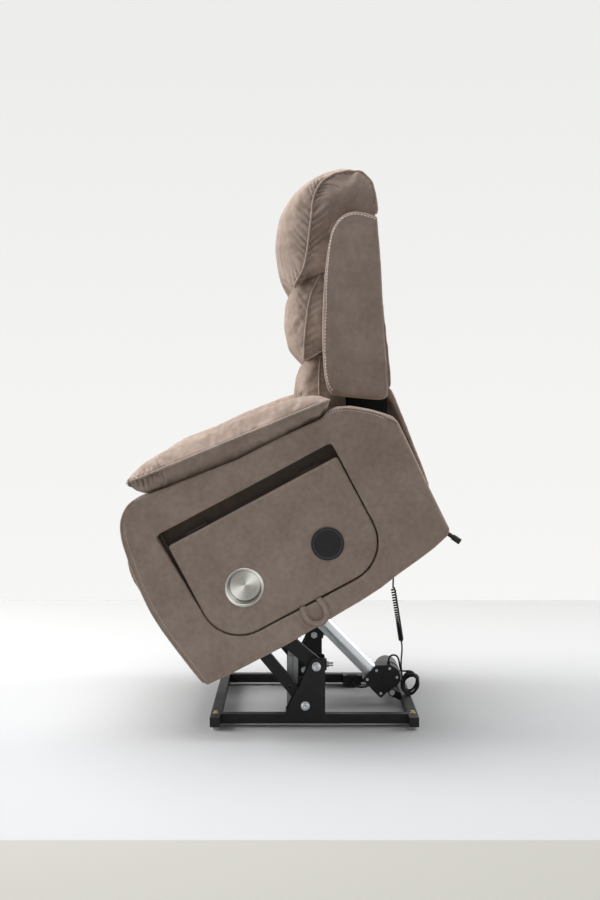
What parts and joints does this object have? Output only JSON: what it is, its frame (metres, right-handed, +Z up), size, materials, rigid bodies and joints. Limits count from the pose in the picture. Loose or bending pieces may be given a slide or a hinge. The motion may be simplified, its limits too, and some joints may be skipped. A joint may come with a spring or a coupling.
{
  "type": "lift recliner chair",
  "caption": "Power lift recliner with a pillow back, folding footrest and flip-up side table, raised on its steel lift base.",
  "frame": {"origin": "on the floor under the middle of the raised chair's outline, cords left out", "axes": "+Z up, -Y the way the sitter faces, +X the sitter's left, where the side table is"},
  "size_m": [0.872, 0.86, 1.4547],
  "materials": {
    "frame_steel": "black powder coat, semi-gloss",
    "grey_steel": "pale grey pressed steel",
    "zinc": "bright zinc plate",
    "yellow_zinc": "yellow zinc plate",
    "aluminium": "satin anodised extrusion",
    "black_plastic": "moulded black plastic",
    "clear_plastic": "milky moulded plastic",
    "stainless": "brushed stainless steel",
    "upholstery": "taupe brushed microfibre",
    "webbing": "woven elastic webbing",
    "timber": "sawn plywood and softwood",
    "cable": "black cable sheath"
  },
  "bodies": {
    "base": {"front_crossbar": "frame_steel", "rear_crossbar": "frame_steel", "side_rails": "frame_steel", "crossbar_caps": "black_plastic", "floor_glides": "clear_plastic", "frame_bolts": "yellow_zinc", "towers": "frame_steel", "tower_channels": "grey_steel", "tower_bolts": "zinc", "pivot_bushes": "zinc", "stop_bolts": "zinc", "actuator_clevis": "frame_steel", "clevis_pin": "zinc", "control_box": "black_plastic", "handset_cord": "cable", "cable_hank": "cable", "motor_lead": "cable", "box_lead": "cable"},
    "lower_links": {"lower_links": "frame_steel"},
    "upper_links": {"upper_links": "frame_steel"},
    "chair": {"carriage_plates": "frame_steel", "carriage_tubes": "frame_steel", "carriage_studs": "zinc", "actuator_bracket": "frame_steel", "cord_hanger": "black_plastic", "seat_side_rails": "timber", "seat_cross_rails": "timber", "seat_webbing": "webbing", "seat_cushion": "upholstery", "arm_left": "upholstery", "arm_right": "upholstery", "arm_pad_left": "upholstery", "arm_pad_right": "upholstery", "rear_bumpers": "black_plastic", "table_tray": "black_plastic", "table_brackets": "frame_steel", "handset": "black_plastic"},
    "actuator": {"gearbox": "black_plastic", "motor_can": "frame_steel", "actuator_tube": "aluminium"},
    "actuator_rod": {"actuator_rod": "zinc"},
    "table": {"table_panel": "upholstery", "table_hinges": "frame_steel", "cup_holder": "stainless", "charging_pad": "black_plastic", "pull_loop": "upholstery"},
    "up_button": {"handset_up_button": "black_plastic"},
    "down_button": {"handset_down_button": "black_plastic"},
    "back": {"back_posts": "timber", "back_rails": "timber", "recline_pins": "zinc", "head_pillow": "upholstery", "lumbar_pillow": "upholstery", "lower_pillow": "upholstery", "back_wings": "upholstery", "outer_back": "upholstery"},
    "foot_bars_rear": {"foot_bars_rear": "frame_steel"},
    "foot_bars_front": {"foot_bars_front": "frame_steel"},
    "footrest": {"foot_board": "timber", "foot_pad": "upholstery"}
  },
  "joints": [
    {"name": "lift", "type": "hinge", "parent": "base", "child": "lower_links", "pos_m": [0, 0.0388, 0.0544], "axis": [1, 0, 0], "range_deg": [0, 42], "deforming": ["handset_cord"]},
    {"name": "carriage_tilt", "type": "hinge", "parent": "lower_links", "child": "chair", "pos_m": [0, -0.12443, 0.25031], "axis": [1, 0, 0], "range_deg": [-70.1, 0.1]},
    {"name": "upper_link_swing", "type": "hinge", "parent": "base", "child": "upper_links", "pos_m": [0, 0.0679, 0.1569], "axis": [1, 0, 0], "range_deg": [-0.1, 40.2]},
    {"name": "actuator_swing", "type": "hinge", "parent": "base", "child": "actuator", "pos_m": [0, 0.2832, 0.033], "axis": [1, 0, 0], "range_deg": [-0.1, 14.1]},
    {"name": "actuator_stroke", "type": "slide", "parent": "actuator", "child": "actuator_rod", "axis": [0, 0.7009, -0.7133], "range_m": [-0.0005, 0.1206]},
    {"name": "recline", "type": "hinge", "parent": "chair", "child": "back", "pos_m": [0, 0.1644, 0.72101], "axis": [-1, 0, 0], "range_deg": [0, 35]},
    {"name": "footrest_swing", "type": "hinge", "parent": "chair", "child": "foot_bars_rear", "pos_m": [0, -0.19659, 0.39881], "axis": [-1, 0, 0], "range_deg": [0, 76.9]},
    {"name": "footrest_knee", "type": "hinge", "parent": "foot_bars_rear", "child": "foot_bars_front", "pos_m": [0, -0.169, 0.19568], "axis": [-1, 0, 0], "range_deg": [-111.1, 0.1]},
    {"name": "footrest_level", "type": "hinge", "parent": "foot_bars_front", "child": "footrest", "pos_m": [0, -0.32197, 0.33215], "axis": [-1, 0, 0], "range_deg": [-0.1, 124.2]},
    {"name": "table_flip", "type": "hinge", "parent": "chair", "child": "table", "pos_m": [0.41, -0.23431, 0.52939], "axis": [0, -0.8829, -0.4695], "range_deg": [0, 90]},
    {"name": "up_press", "type": "slide", "parent": "chair", "child": "up_button", "axis": [1, 0, 0], "range_m": [0, 0.0015], "stiffness_N_per_m": 500},
    {"name": "down_press", "type": "slide", "parent": "chair", "child": "down_button", "axis": [1, 0, 0], "range_m": [0, 0.0015], "stiffness_N_per_m": 500}
  ],
  "couplings": [
    {"joint": "carriage_tilt", "follows": "lift", "ratio": -1.6667},
    {"joint": "upper_link_swing", "follows": "lift", "ratio": 0.954},
    {"joint": "actuator_swing", "follows": "lift", "ratio": 0.333},
    {"joint": "actuator_stroke", "follows": "lift", "m_per_rad": 0.1639},
    {"joint": "footrest_knee", "follows": "footrest_swing", "ratio": -1.4434},
    {"joint": "footrest_level", "follows": "footrest_swing", "ratio": 1.6138}
  ]
}
